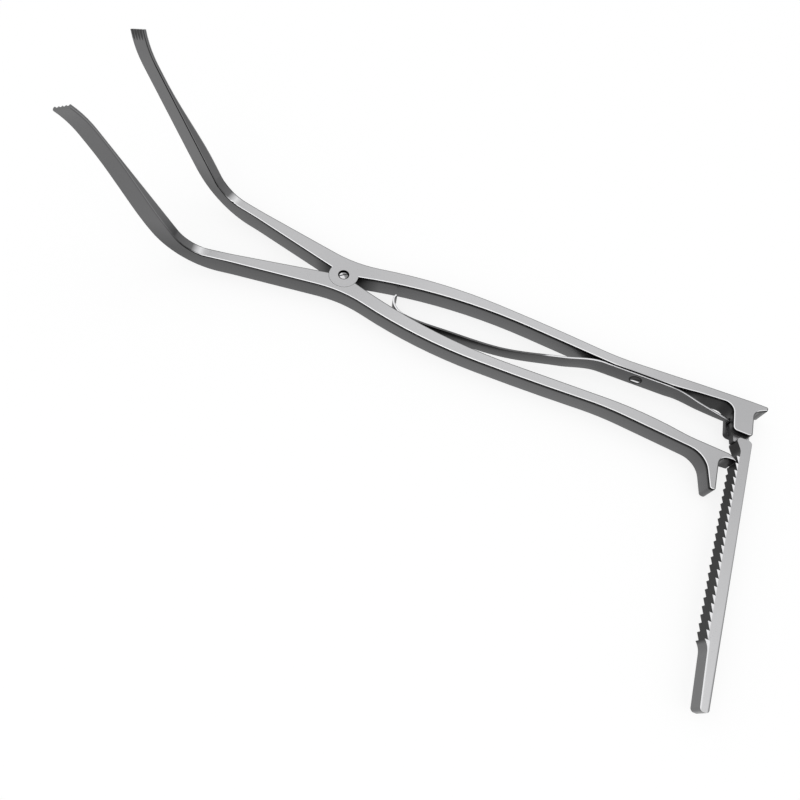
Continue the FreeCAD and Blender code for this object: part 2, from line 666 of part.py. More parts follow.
def leaf_spring():
    """One strip of spring steel, cut to its tapering width and punched for its screw."""
    half = SPRING_THICKNESS / 2
    path = spring_path()
    left = [banded(curve, half) for curve in path]
    right = [banded(curve, -half) for curve in path]
    ends = [
        Part.makeLine(left[0].value(left[0].FirstParameter), right[0].value(right[0].FirstParameter)),
        Part.makeLine(left[-1].value(left[-1].LastParameter), right[-1].value(right[-1].LastParameter)),
    ]
    edges = [curve.toShape() for curve in left + right] + ends
    strip = Part.Face(Part.Wire(Part.__sortEdges__(edges))).extrude(UP * ARM_THICKNESS)
    strip = strip.common(spring_width_mask())
    along, out = seat_frame()
    hole = Part.makeCone(
        SPRING_SCREW_RADIUS, SPRING_SCREW_HEAD_RADIUS, SPRING_THICKNESS, spring_screw_seat(), out
    )
    return strip.cut(hole)


def spring_screw():
    """Slotted countersunk screw that clamps the leaf on the rack arm."""
    along, out = seat_frame()
    seat = spring_screw_seat()
    head = Part.makeCone(SPRING_SCREW_RADIUS, SPRING_SCREW_HEAD_RADIUS, SPRING_THICKNESS, seat, out)
    shank = Part.makeCylinder(SPRING_SCREW_RADIUS, SPRING_SCREW_DEPTH, seat, out * -1)
    slot = Part.makeBox(2 * SPRING_SCREW_HEAD_RADIUS, SPRING_THICKNESS, SPRING_SCREW_SLOT)
    slot.translate(Vector(-SPRING_SCREW_HEAD_RADIUS, SPRING_THICKNESS / 2, -SPRING_SCREW_SLOT / 2))
    slot.rotate(Vector(0, 0, 0), Vector(0, 1, 0), SPRING_SCREW_TURN)
    slot.rotate(Vector(0, 0, 0), UP, math.degrees(math.atan2(along.y, along.x)))
    slot.translate(seat)
    return head.fuse(shank).cut(slot).removeSplitter()


PIECES = {
    "rack_arm": rack_arm,
    "pawl_arm": pawl_arm,
    "ratchet_rack": ratchet_rack,
    "leaf_spring": leaf_spring,
    "pivot_screw": pivot_screw,
    "rack_pin": rack_pin,
    "spring_screw": spring_screw,
}


def main():
    os.makedirs("parts", exist_ok=True)
    for name, make in PIECES.items():
        shape = make()
        print(name, "solids", len(shape.Solids), "valid", shape.isValid(), "volume", round(shape.Volume, 1))
        shape.exportStep(os.path.join("parts", name + ".step"))


main()
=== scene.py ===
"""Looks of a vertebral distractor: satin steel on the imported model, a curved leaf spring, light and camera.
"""

import logging
import math
from dataclasses import dataclass, field
from enum import Enum

import bmesh
import bpy
import numpy as np
from mathutils import Matrix, Vector

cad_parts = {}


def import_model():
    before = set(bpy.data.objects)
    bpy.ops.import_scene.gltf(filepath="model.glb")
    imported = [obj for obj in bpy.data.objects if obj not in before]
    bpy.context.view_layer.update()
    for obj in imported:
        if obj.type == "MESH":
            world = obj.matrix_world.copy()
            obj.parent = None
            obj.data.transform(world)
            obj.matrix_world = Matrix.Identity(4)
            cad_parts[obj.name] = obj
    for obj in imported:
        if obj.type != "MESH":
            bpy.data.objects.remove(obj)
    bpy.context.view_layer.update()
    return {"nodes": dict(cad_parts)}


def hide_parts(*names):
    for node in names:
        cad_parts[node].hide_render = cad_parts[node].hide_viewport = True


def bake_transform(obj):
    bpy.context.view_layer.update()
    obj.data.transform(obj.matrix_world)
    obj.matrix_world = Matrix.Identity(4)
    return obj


MM = 0.001
ARM_THICKNESS = 8 * MM
# In front of the joint each bar lies this many degrees to its side of the middle line
FRONT_ANGLE = 10.9
# Each pair of places along X or up Z says where a change of the look, with its painted light and shade,
# begins and where it is complete
FRONT_MEMBER = (20 * MM, 40 * MM)
BLADE_FOOT = (10 * MM, 22 * MM)
BLADE_TIP = (56 * MM, 59 * MM)
# Heights of the painted shade under the upper edge, and where along X that shade eases
PAINTED_SHADE_UNDER_EDGE = (6.5 * MM, 7.2 * MM)
PAINTED_SHADE_UNDER_EDGE_FADE = (-40 * MM, 10 * MM)
BEND_START = (38 * MM, 45 * MM)
# The pawl arm lies on the positive side of the middle line
PAWL_SIDE = (0.0, 1 * MM)
SPRING_SCREW_X = -116.6 * MM
# Each pair of shares across a bar says where its face, its rounded edge with its painted highlight and the
# painted dark line under it end
FACE_END = (0.07, 0.13)
EDGE_END = (0.50, 0.60)
LINE_END = (0.90, 0.955)
# How level a bar is where its edge takes the full painted highlight, and how far a face looks up to count as
# an upper one
LEVEL_EDGE = (0.8, 0.97)
UPWARD = (0.0, 0.1)
# Direction in plan from which the painted highlight on the edges seems to come, and how far a face turns to
# it to take that painted highlight
PAINTED_LIGHT_SIDE = (0.6, 0.8)
PAINTED_LIT_TURN = (-0.02, 0.06)
log = logging.getLogger("distractor")


class Grain(Enum):
    """How the last polishing pass has left the steel: how much its grain is drawn out along X, Y and Z."""

    SATIN = (1.0, 1.0, 1.0)
    BRUSHED = (0.12, 1.0, 1.0)


class Value:
    """A shader socket in plain arithmetic: each operation adds one Math node."""

    def __init__(self, shader: "Shader", socket: bpy.types.NodeSocket) -> None:
        """Keep the socket and the shader that it belongs to."""
        self.shader = shader
        self.socket = socket

    def math(self, operation: str, first: object, second: object = 0.0) -> "Value":
        """Add one Math node.

        Args:
            operation: Blender's name of the operation.
            first: the first operand, a number or a Value.
            second: the second operand, a number or a Value.

        Returns:
            The node's result.
        """
        return self.shader.node("ShaderNodeMath", {"operation": operation}, {0: first, 1: second})

    def __add__(self, other: object) -> "Value":
        """Sum."""
        return self.math("ADD", self, other)

    __radd__ = __add__

    def __sub__(self, other: object) -> "Value":
        """Difference."""
        return self.math("SUBTRACT", self, other)

    def __rsub__(self, other: object) -> "Value":
        """Difference with the number first."""
        return self.math("SUBTRACT", other, self)

    def __mul__(self, other: object) -> "Value":
        """Product."""
        return self.math("MULTIPLY", self, other)

    __rmul__ = __mul__

    def __abs__(self) -> "Value":
        """Size without sign."""
        return self.math("ABSOLUTE", self)

    def __truediv__(self, other: object) -> "Value":
        """Quotient."""
        return self.math("DIVIDE", self, other)

    def largest(self, other: object) -> "Value":
        """The larger of two values."""
        return self.math("MAXIMUM", self, other)

    def rise(self, low: float, high: float) -> "Value":
        """Nought at one value, one at another, even in between and level past them."""
        ends = {"Value": self, "From Min": low, "From Max": high}
        return self.shader.node("ShaderNodeMapRange", inputs=ends)


class Shader:
    """The node tree of a material or of the world."""

    def __init__(self, tree: bpy.types.NodeTree) -> None:
        """Start the tree afresh."""
        self.tree = tree
        tree.nodes.clear()

    def node(
        self, kind: str, settings: dict | None = None, inputs: dict | None = None, output: object = 0
    ) -> Value:
        """Add one node.

        Args:
            kind: Blender's node type.
            settings: attributes set first; "stops" gives a ramp's places and colours.
            inputs: number, colour or Value of each socket, by name or place.
            output: name or place of the socket that is wanted.

        Returns:
            The wanted output.
        """
        made = self.tree.nodes.new(kind)
        for name, value in (settings or {}).items():
            if name == "stops":
                self.set_stops(made.color_ramp, value)
            else:
                setattr(made, name, value)
        for name, value in (inputs or {}).items():
            if isinstance(value, Value):
                self.tree.links.new(value.socket, made.inputs[name])
            else:
                made.inputs[name].default_value = value
        return Value(self, made.outputs[output]) if len(made.outputs) else Value(self, None)

    def parts(self, vector: Value) -> tuple[Value, Value, Value]:
        """The X, Y and Z of a vector."""
        split = self.node("ShaderNodeSeparateXYZ", inputs={0: vector})
        sockets = split.socket.node.outputs
        return Value(self, sockets["X"]), Value(self, sockets["Y"]), Value(self, sockets["Z"])

    @staticmethod
    def set_stops(ramp: bpy.types.ColorRamp, stops: list[tuple[float, float]]) -> None:
        """Give a ramp its stops, each a place and a grey level."""
        while len(ramp.elements) < len(stops):
            ramp.elements.new(1.0)
        for element, (place, level) in zip(ramp.elements, stops):
            element.position = place
            element.color = (level, level, level, 1.0)


@dataclass(frozen=True)
class Steel:
    """Surgical steel with light and shade painted into its grey by the way a face turns.

    Across is nought on a bar's upper and lower faces and one on its sides. Facing is one where the
    upper face is level and less where the bar turns up into its blade. The greys are the level face,
    painted lighter as under light from above, a painted highlight in the bend, painted shade on the face
    of the blade, a painted highlight on the rounded edge, a painted dark line under it and painted shade
    on the sides.
    """

    name: str
    # Painted light and shade by the way a face turns: the level face lighter as under light from above, a
    # highlight in the bend, shade on the blades' upper faces, a highlight on the rounded edges, a dark line
    # under them and shade on the sides
    face: float = 0.50
    painted_glint: float = 0.78
    upturned_painted_shade: float = 0.16
    edge: float = 0.95
    line: float = 0.012
    side: float = 0.118
    # Painted shade on rounded edges turned away from the painted light, and a painted highlight that the
    # blades' upper edges keep there
    away_edge_painted_shade: float = 0.35
    blade_edge_painted_highlight: float = 1.4
    # Painted shade on the blades' upper faces, by lowering how level they count
    blade_face_painted_shade: float = 0.6
    # Painted light and shade on the sides: lighter low down, darker towards the top, lighter on the blades,
    # and painted shade under the upper edge that eases towards the front
    side_low: float = 1.15
    side_drop: float = 0.30
    blade_gain: float = 0.42
    under_edge_painted_shade: float = 0.88
    under_edge_painted_shade_drop: float = 0.5
    # How much the painted dark line under the edges turns lighter on the pawl arm's blade, and at the tips
    soft_line: float = 1.1
    tip_fade: float = 0.4
    tint: tuple[float, float, float] = (0.985, 0.985, 1.0)
    roughness: float = 0.30
    rough_fine: float = 0.10
    rough_broad: float = 0.06
    grain: Grain = Grain.SATIN
    grain_size: float = 0.35 * MM
    grain_depth: float = 0.004 * MM
    grain_strength: float = 0.6
    broad_scale: float = 60.0
    mottle: float = 0.15

    def look(self, shader: Shader, place: Value) -> tuple[Value, Value, Value]:
        """Which way a face looks.

        Args:
            shader: the material's tree.
            place: position on the object.

        Returns:
            How far across the bar, how level the bar is there, and one where it turns to the side that takes
            the painted highlight.
        """
        x, y, z = shader.parts(place)
        nx, ny, nz = shader.parts(shader.node("ShaderNodeTexCoord", output="Normal"))
        hand = x.math("SIGN", y)
        turn = math.radians(FRONT_ANGLE)
        sideways = abs(ny * math.cos(turn) - nx * hand * math.sin(turn))
        steep = nz.math("SQRT", (1.0 - nz * nz).largest(0.0))
        front = x.rise(*FRONT_MEMBER)
        across = front * sideways + (1.0 - front) * steep
        level = nz.math("SQRT", (1.0 - across * across).largest(0.001))
        blade = z.rise(*BLADE_FOOT)
        # Painted light: one on faces turned to a fixed side in plan, which take the painted highlight on
        # their rounded edges
        painted_lit = (nx * PAINTED_LIGHT_SIDE[0] + ny * PAINTED_LIGHT_SIDE[1]).rise(*PAINTED_LIT_TURN)
        # Painted shade: facing is lowered on the blades, so that their upper faces take darker greys
        return across, abs(nz) / level * (1.0 - self.blade_face_painted_shade * blade), painted_lit

    def side_grey(self, shader: Shader, place: Value) -> Value:
        """Painted shade on the sides: darker towards and under their upper edge, and painted light a shade
        lighter on the blades.
        """
        x, _, z = shader.parts(place)
        blade = z.rise(*BLADE_FOOT)
        # Painted shade under the upper edge, easing towards the front and gone at the bend
        under = z.rise(*PAINTED_SHADE_UNDER_EDGE) * (1.0 - x.rise(*BEND_START))
        shade = under * (self.under_edge_painted_shade - self.under_edge_painted_shade_drop * x.rise(*PAINTED_SHADE_UNDER_EDGE_FADE))
        height = z.rise(0.0, ARM_THICKNESS)
        return self.side * (self.side_low - self.side_drop * height + self.blade_gain * blade) * (1.0 - shade)

    def line_fade(self, shader: Shader, place: Value) -> Value:
        """Nought where the painted dark line under an edge is darkest, and more on the pawl arm's blade and
        both tips, where it is painted lighter.
        """
        _, y, z = shader.parts(place)
        return (z.rise(*BLADE_FOOT) * y.rise(*PAWL_SIDE)).largest(self.tip_fade * z.rise(*BLADE_TIP))

    def blade_edge(self, shader: Shader, place: Value) -> Value:
        """One on the upper edges of the blades, which keep a painted highlight also on the side turned away
        from the painted light.
        """
        _, _, z = shader.parts(place)
        _, _, nz = shader.parts(shader.node("ShaderNodeTexCoord", output="Normal"))
        return z.rise(*BLADE_FOOT) * nz.rise(*UPWARD)

    def grey(self, shader: Shader, place: Value) -> Value:
        """Grey level of the steel, with light and shade painted in by the way each face turns.

        Args:
            shader: the material's tree.
            place: position on the object.

        Returns:
            The grey level.
        """
        across, facing, painted_lit = self.look(shader, place)
        # Painted shade on the upper face of the blade, a painted highlight round the bend, then the level bar
        # painted lighter
        stops = [
            (0.35, self.upturned_painted_shade * 0.85),
            (0.86, self.upturned_painted_shade),
            (0.93, 0.75 * self.painted_glint),
            (0.965, self.painted_glint),
            (0.985, 0.8 * self.painted_glint),
            (0.997, self.face),
        ]
        upper = shader.node("ShaderNodeValToRGB", {"stops": stops}, {"Fac": facing})
        off_face = across.rise(*FACE_END)
        off_edge = across.rise(*EDGE_END)
        off_line = across.rise(*LINE_END)
        # Painted highlight on rounded edges turned to that side, and painted shade on those turned away
        away = upper * (self.away_edge_painted_shade + self.blade_edge_painted_highlight * self.blade_edge(shader, place))
        edge = away + painted_lit * (upper + facing.rise(*LEVEL_EDGE) * (self.edge - upper) - away)
        # Painted dark line under the rounded edge, then the painted shade of the sides
        line = self.line + self.line_fade(shader, place) * (self.soft_line * self.side - self.line)
        dark = line + off_line * (self.side_grey(shader, place) - line)
        return (1.0 - off_face) * upper + (off_face * (1.0 - off_edge)) * edge + off_edge * dark

    def material(self) -> bpy.types.Material:
        """Build the material; a fine and a coarse noise vary its grey, roughness and height a little."""
        material = bpy.data.materials.new(self.name)
        material.use_nodes = True
        shader = Shader(material.node_tree)
        place = shader.node("ShaderNodeTexCoord", output="Object")
        stretched = shader.node("ShaderNodeMapping", inputs={"Vector": place, "Scale": self.grain.value})
        fine = shader.node(
            "ShaderNodeTexNoise", inputs={"Vector": stretched, "Scale": 1 / self.grain_size, "Detail": 3.0}
        )
        broad = shader.node(
            "ShaderNodeTexNoise", inputs={"Vector": place, "Scale": self.broad_scale, "Detail": 2.0}
        )
        vary = 1.0 - 0.5 * self.mottle + self.mottle * fine + 0.5 * self.mottle * (broad - 0.5)
        grey = self.grey(shader, place) * vary
        toned = shader.node("ShaderNodeCombineXYZ", inputs={0: grey, 1: grey, 2: grey})
        colour = shader.node("ShaderNodeVectorMath", {"operation": "MULTIPLY"}, {0: toned, 1: self.tint})
        rough = self.roughness + self.rough_fine * (fine - 0.5) + self.rough_broad * (broad - 0.5)
        relief = {"Strength": self.grain_strength, "Distance": self.grain_depth, "Height": fine}
        bump = shader.node("ShaderNodeBump", inputs=relief)
        surface = shader.node(
            "ShaderNodeBsdfPrincipled",
            inputs={"Base Color": colour, "Metallic": 1.0, "Roughness": rough, "Normal": bump},
        )
        shader.node("ShaderNodeOutputMaterial", inputs={"Surface": surface})
        return material


@dataclass(frozen=True)
class ArmSteel(Steel):
    """Steel of the levers, with painted shade in the joint screw's well, beside the boss and within both
    handle ends, and painted light halfway along the handles.
    """

    # Painted shade beside the boss and within the handle ends, painted shade in the screw's well, and painted
    # light halfway along the handles
    crotch_painted_shade: float = 0.88
    handle_end_painted_shade: float = 0.75
    well_painted_shade: float = 0.02
    handle_painted_light: float = 0.18
    well: tuple[float, float] = (2.1 * MM, 2.2 * MM)
    crotch_width: tuple[float, float] = (4.6 * MM, 4.1 * MM)
    crotch_reach: tuple[float, float] = (6.5 * MM, 14.0 * MM)
    fork_reach: tuple[float, float] = (-142.0 * MM, -130.0 * MM)
    fork_outer: tuple[float, float] = (-12.6 * MM, -12.3 * MM)
    fork_inner: tuple[float, float] = (0.5 * MM, 0.2 * MM)
    hook_reach: tuple[float, float] = (-152.0 * MM, -150.8 * MM)
    handle_front: tuple[float, float] = (-5.0 * MM, -45.0 * MM)
    handle_rear: tuple[float, float] = (-152.0 * MM, -105.0 * MM)

    def side_grey(self, shader: Shader, place: Value) -> Value:
        """Grey of the sides, with painted shade between the arms and at the handle ends."""
        x, y, _ = shader.parts(place)
        beside = 1.0 - self.away(shader, place).rise(*self.crotch_reach)
        crotch = beside * abs(y).rise(*self.crotch_width)
        inner = y.rise(*self.fork_outer) * y.rise(*self.fork_inner)
        fork = (1.0 - x.rise(*self.fork_reach)) * inner
        hook = (1.0 - x.rise(*self.hook_reach)) * y.rise(*PAWL_SIDE)
        # Painted shade between the arms beside the boss and within the fork and hook of the handle ends
        shade = (1.0 - self.crotch_painted_shade * crotch) * (1.0 - self.handle_end_painted_shade * fork) * (1.0 - self.handle_end_painted_shade * hook)
        return super().side_grey(shader, place) * shade

    def away(self, shader: Shader, place: Value) -> Value:
        """Distance from the pivot axis."""
        x, y, _ = shader.parts(place)
        return x.math("SQRT", x * x + y * y)

    def grey(self, shader: Shader, place: Value) -> Value:
        """Grey level, with painted shade near black in the screw's well and painted light halfway along the
        handles.
        """
        x, _, _ = shader.parts(place)
        # Painted shade in the screw's well and painted light halfway along the handles
        unshaded_share = self.well_painted_shade + (1.0 - self.well_painted_shade) * self.away(shader, place).rise(*self.well)
        handle = x.rise(*self.handle_front) * x.rise(*self.handle_rear)
        return super().grey(shader, place) * unshaded_share * (1.0 + self.handle_painted_light * handle)


@dataclass(frozen=True)
class RackSteel(Steel):
    """Steel of the rack, with painted shade along its toothed side and on its rear edge, painted light rising
    towards the finger grip, and a painted highlight along its teeth and the grip's edge.

    The rack leans a little out of line. Its places along X are given where its line crosses the X axis.
    """

    lean: float = math.radians(0.25)
    first_tooth: tuple[float, float] = (9.0 * MM, 9.1 * MM)
    last_tooth: tuple[float, float] = (76.3 * MM, 76.2 * MM)
    grip_side: tuple[float, float] = (76.3 * MM, 77.3 * MM)
    tooth_root: tuple[float, float] = (-158.15 * MM, -157.9 * MM)
    rear_edge: tuple[float, float] = (-161.75 * MM, -161.35 * MM)
    grip_start: float = 79.8 * MM
    grip_end: float = 97.0 * MM
    grip_edge: tuple[float, float] = (-158.95 * MM, -158.7 * MM)
    grip_slope: float = 0.0414
    # Painted shade on the sides up to the last tooth, a painted highlight along the teeth and the grip's
    # edge, painted light rising along the rack, and painted shade on the rear edge
    toothed: float = 0.022
    tooth_and_grip_painted_highlight: float = 0.95
    base_gain: float = 0.97
    along_painted_light: float = 0.45
    rear_edge_painted_shade: float = 0.35

    def side_grey(self, shader: Shader, place: Value) -> Value:
        """Grey of the sides, with painted shade up to the last tooth."""
        _, y, _ = shader.parts(place)
        return self.toothed + y.rise(*self.grip_side) * (self.side - self.toothed)

    def grey(self, shader: Shader, place: Value) -> Value:
        """Grey level, with painted light rising along the rack, painted shade on its rear edge and a painted
        highlight along its teeth and grip.
        """
        x, y, _ = shader.parts(place)
        across, _, _ = self.look(shader, place)
        out = x + self.lean * y
        # Painted shade on the rear edge and painted light rising along the rack
        rear = self.rear_edge_painted_shade + (1.0 - self.rear_edge_painted_shade) * out.rise(*self.rear_edge)
        along = self.base_gain + self.along_painted_light * y.rise(0.0, self.grip_end)
        grey = super().grey(shader, place) * along * rear
        # Painted highlight on the upper face over the teeth and along the grip's front edge
        toothed = y.rise(*self.last_tooth)
        on_top = 1.0 - across.rise(*FACE_END)
        tooth = y.rise(*self.first_tooth) * toothed * out.rise(*self.tooth_root)
        grip = (1.0 - toothed) * (out + self.grip_slope * (y - self.grip_start)).rise(*self.grip_edge)
        return grey + on_top * (tooth + grip) * (self.tooth_and_grip_painted_highlight - grey)


@dataclass(frozen=True)
class LeafSteel(Steel):
    """Steel of the leaf spring, with painted shade at its front end, in a ring round its screw and on its
    upper edge between the clamp and the curl.
    """

    # Painted shade at the front end, in a ring round the screw, and on the upper edge between the clamp and
    # the curl
    front_shade: float = 0.88
    ring_painted_shade: float = 0.1
    upper_edge_painted_shade: float = 0.65
    shade: tuple[float, float] = (-58.0 * MM, -34.0 * MM)
    upper_edge_shade_span: tuple[float, float] = (-84.0 * MM, -72.0 * MM)
    curl: tuple[float, float] = (-30.0 * MM, -27.0 * MM)
    ring: tuple[float, float] = (2.35 * MM, 2.5 * MM)

    def side_grey(self, shader: Shader, place: Value) -> Value:
        """Grey of the sides, with painted shade fading to near black at the front and round the screw."""
        x, _, z = shader.parts(place)
        along, up = x - SPRING_SCREW_X, z - 0.5 * ARM_THICKNESS
        away = x.math("SQRT", along * along + up * up)
        unshaded_share = self.ring_painted_shade + (1.0 - self.ring_painted_shade) * away.rise(*self.ring)
        return self.side * (1.0 - self.front_shade * x.rise(*self.shade)) * unshaded_share

    def look(self, shader: Shader, place: Value) -> tuple[Value, Value, Value]:
        """Which way a face looks; between the clamp and the curl the upper edge takes painted shade, by
        counting as turned up.
        """
        across, facing, painted_lit = super().look(shader, place)
        x, _, _ = shader.parts(place)
        # Painted shade on the upper edge between the clamp and the curl
        upper_edge_shade_mask = x.rise(*self.upper_edge_shade_span) * (1.0 - x.rise(*self.curl))
        return across, facing * (1.0 - self.upper_edge_painted_shade * upper_edge_shade_mask), painted_lit


@dataclass(frozen=True)
class SideScrewSteel(Steel):
    """Polished steel of the screw in the arm's side, with a painted highlight on its head below the middle
    and painted shade above.
    """

    # Painted shade on the head, and a painted highlight in a band below its middle
    dark: float = 0.04
    head_painted_highlight: float = 0.86
    upper_limit: tuple[float, float] = (3.6 * MM, 3.2 * MM)
    lower_limit: tuple[float, float] = (2.5 * MM, 2.8 * MM)

    def side_grey(self, shader: Shader, place: Value) -> Value:
        """Grey of the head: a painted highlight in a band below the middle and painted shade above."""
        _, _, z = shader.parts(place)
        return self.dark + self.head_painted_highlight * z.rise(*self.upper_limit) * z.rise(*self.lower_limit)


# Each material below paints light and shade into its grey by the way its faces turn, and some paint more
# shade and highlights at given places
ARM_STEEL = ArmSteel("satin_arm_steel")
RACK_STEEL = RackSteel("satin_rack_steel", side=0.11)
SPRING_STEEL = LeafSteel("spring_steel", side=0.10, face=0.85, grain=Grain.BRUSHED)
SCREW_STEEL = Steel(
    "polished_screw_steel",
    face=0.80,
    edge=0.75,
    line=0.3,
    side=0.35,
    roughness=0.18,
    mottle=0.04,
)
SIDE_SCREW_STEEL = SideScrewSteel("polished_side_screw_steel", roughness=0.18, mottle=0.04)


def dress(node: bpy.types.Object, material: bpy.types.Material) -> None:
    """Give a node one material in its first slot and take the other slots away."""
    node.data.materials.clear()
    node.data.materials.append(material)


def mesh_piece(name: str, points: np.ndarray, faces: list[tuple[int, ...]]) -> bpy.types.Object:
    """Make a piece from its points and faces.

    Args:
        name: the piece's name.
        points: one row of three numbers a point, in metres.
        faces: the corners of each face.

    Returns:
        The piece, linked to the scene.
    """
    mesh = bpy.data.meshes.new(name)
    mesh.from_pydata(points.tolist(), [], faces)
    mesh.validate()
    piece = bpy.data.objects.new(name, mesh)
    bpy.context.scene.collection.objects.link(piece)
    return piece


def grid_faces(rows: int, columns: int) -> list[tuple[int, ...]]:
    """Faces of a grid whose columns close into a ring, with a cap on its first and last row.

    Args:
        rows: number of rows.
        columns: number of points in each row.

    Returns:
        The corners of each face, wound so that they face outwards on a ring that turns left
        about the way from the first row to the last.
    """
    row = np.arange(rows - 1)[:, None]
    column = np.arange(columns)[None, :]
    after = (column + 1) % columns
    this_row, next_row = row * columns, (row + 1) * columns
    corners = np.stack(
        [this_row + column, this_row + after, next_row + after, next_row + column], axis=-1
    )
    faces = [tuple(face) for face in corners.reshape(-1, 4).tolist()]
    first = tuple(range(columns - 1, -1, -1))
    last = tuple(range((rows - 1) * columns, rows * columns))
    return faces + [first, last]


@dataclass
class LeafSpring:
    """The strip spring and its screw. It is clamped on the rack arm and presses on the pawl arm."""

    thickness: float = 0.8 * MM
    width: float = 6.8 * MM
    front_width: float = 5.4 * MM
    tail_width: float = 1.8 * MM
    full_width_from: float = -129.0 * MM
    edge_round: float = 0.16 * MM
    mid_height: float = 4.0 * MM
    seat_front: tuple[float, float] = (-103.0 * MM, -7.5 * MM)
    seat_rear: tuple[float, float] = (-131.0 * MM, -8.45 * MM)
    hole_radius: float = 1.0 * MM
    countersink_radius: float = 1.95 * MM
    cutter_reach: tuple[float, float] = (-0.5, 1.5)
    tail: tuple[tuple[float, float], ...] = ((-153.4 * MM, -5.3 * MM), (-142.0 * MM, -6.5 * MM))
    bow: tuple[tuple[float, float], ...] = (
        (-88.0 * MM, -2.6 * MM),
        (-66.0 * MM, 3.55 * MM),
        (-46.0 * MM, 5.35 * MM),
        (-28.0 * MM, 5.86 * MM),
    )
    curl: tuple[tuple[float, float], ...] = (
        (-23.6 * MM, 4.25 * MM),
        (-21.6 * MM, 1.9 * MM),
        (-21.1 * MM, -0.1 * MM),
        (-21.4 * MM, -1.3 * MM),
    )
    tail_slope: tuple[float, float] = (0.99, -0.05)
    bow_slope: tuple[float, float] = (0.99, -0.12)
    curl_slope: tuple[float, float] = (-0.3, -0.95)
    stations: int = 24
    corner_points: int = 4
    hole_points: int = 48
    finish: Steel = field(default=SPRING_STEEL)
    screw_finish: Steel = field(default=SIDE_SCREW_STEEL)

    def seat_frame(self) -> tuple[np.ndarray, np.ndarray]:
        """Direction along the seat towards the pivot, and the direction out of it."""
        along = np.subtract(self.seat_front, self.seat_rear)
        along /= np.linalg.norm(along)
        return along, np.array([-along[1], along[0]])

    def stretch(self, points: np.ndarray, leave: np.ndarray, arrive: np.ndarray) -> np.ndarray:
        """Smooth run through points with given end directions.

        Each pair of neighbours is joined by a cubic whose end slopes are the chord-weighted mean
        slopes of the runs on each side, so the run has no kink.

        Args:
            points: the points in plan, one a row.
            leave: slope at the first point, for one metre of chord.
            arrive: slope at the last point, for one metre of chord.

        Returns:
            Evenly stepped points on each cubic, without the last point.
        """
        chord = np.linalg.norm(np.diff(points, axis=0), axis=1)[:, None]
        slope = np.diff(points, axis=0) / chord
        middle = (slope[:-1] * chord[1:] + slope[1:] * chord[:-1]) / (chord[1:] + chord[:-1])
        tangent = np.vstack([leave, middle, arrive])
        t = np.linspace(0, 1, self.stations, endpoint=False)[None, :, None]
        start, end = points[:-1, None, :], points[1:, None, :]
        head, foot = tangent[:-1, None, :] * chord[:, None, :], tangent[1:, None, :] * chord[:, None, :]
        run = (
            (2 * t**3 - 3 * t**2 + 1) * start
            + (t**3 - 2 * t**2 + t) * head
            + (3 * t**2 - 2 * t**3) * end
            + (t**3 - t**2) * foot
        )
        return run.reshape(-1, 2)

    def centreline(self) -> np.ndarray:
        """Middle line of the strip in plan, from the tail's end to the curled end."""
        along, out = self.seat_frame()
        front = np.array(self.seat_front) + out * self.thickness / 2
        rear = np.array(self.seat_rear) + out * self.thickness / 2
        tail = self.stretch(np.vstack([self.tail, rear]), np.array(self.tail_slope), along)
        clamped = rear + (front - rear) * np.linspace(0, 1, self.stations, endpoint=False)[:, None]
        level = np.array(self.bow_slope)
        bow = self.stretch(np.vstack([front, self.bow]), along, level)
        curl = self.stretch(np.vstack([self.bow[-1], self.curl]), level, np.array(self.curl_slope))
        return np.vstack([tail, clamped, bow, curl, [self.curl[-1]]])

    def half_width(self, x: np.ndarray) -> np.ndarray:
        """Half the strip's width at a distance along the instrument."""
        places = [self.tail[0][0], self.full_width_from, self.seat_front[0], self.bow[1][0]]
        widths = [self.tail_width, self.width, self.width, self.front_width]
        return np.interp(x, places, widths) / 2

    def section(self, half_width: np.ndarray) -> np.ndarray:
        """Rounded rectangle of the strip at each station.

        Each corner is a quarter circle of the edge's radius, and the flats join the quarters.

        Args:
            half_width: half the width at each station.

        Returns:
            Offsets across the strip's face and up its width, by station and by corner point.
        """
        quarter = np.linspace(0, math.pi / 2, self.corner_points)
        turn = np.concatenate([quarter + index * math.pi / 2 for index in range(4)])
        side = np.repeat([1, -1, -1, 1], self.corner_points)
        rise = np.repeat([1, 1, -1, -1], self.corner_points)
        across = side * (self.thickness / 2 - self.edge_round) + self.edge_round * np.cos(turn)
        up = rise[None, :] * (half_width[:, None] - self.edge_round) + self.edge_round * np.sin(turn)
        return np.stack([np.broadcast_to(across, up.shape), up], axis=-1)

    def strip(self) -> bpy.types.Object:
        """The strip: its section carried along the middle line, closed at both ends."""
        line = self.centreline()
        heading = np.gradient(line, axis=0)
        heading /= np.linalg.norm(heading, axis=1)[:, None]
        normal = np.stack([-heading[:, 1], heading[:, 0]], axis=1)
        section = self.section(self.half_width(line[:, 0]))
        plan = line[:, None, :] + normal[:, None, :] * section[:, :, :1]
        height = self.mid_height + section[:, :, 1:]
        points = np.concatenate([plan, height], axis=-1)
        faces = grid_faces(points.shape[0], points.shape[1])
        return mesh_piece("leaf_strip", points.reshape(-1, 3), faces)

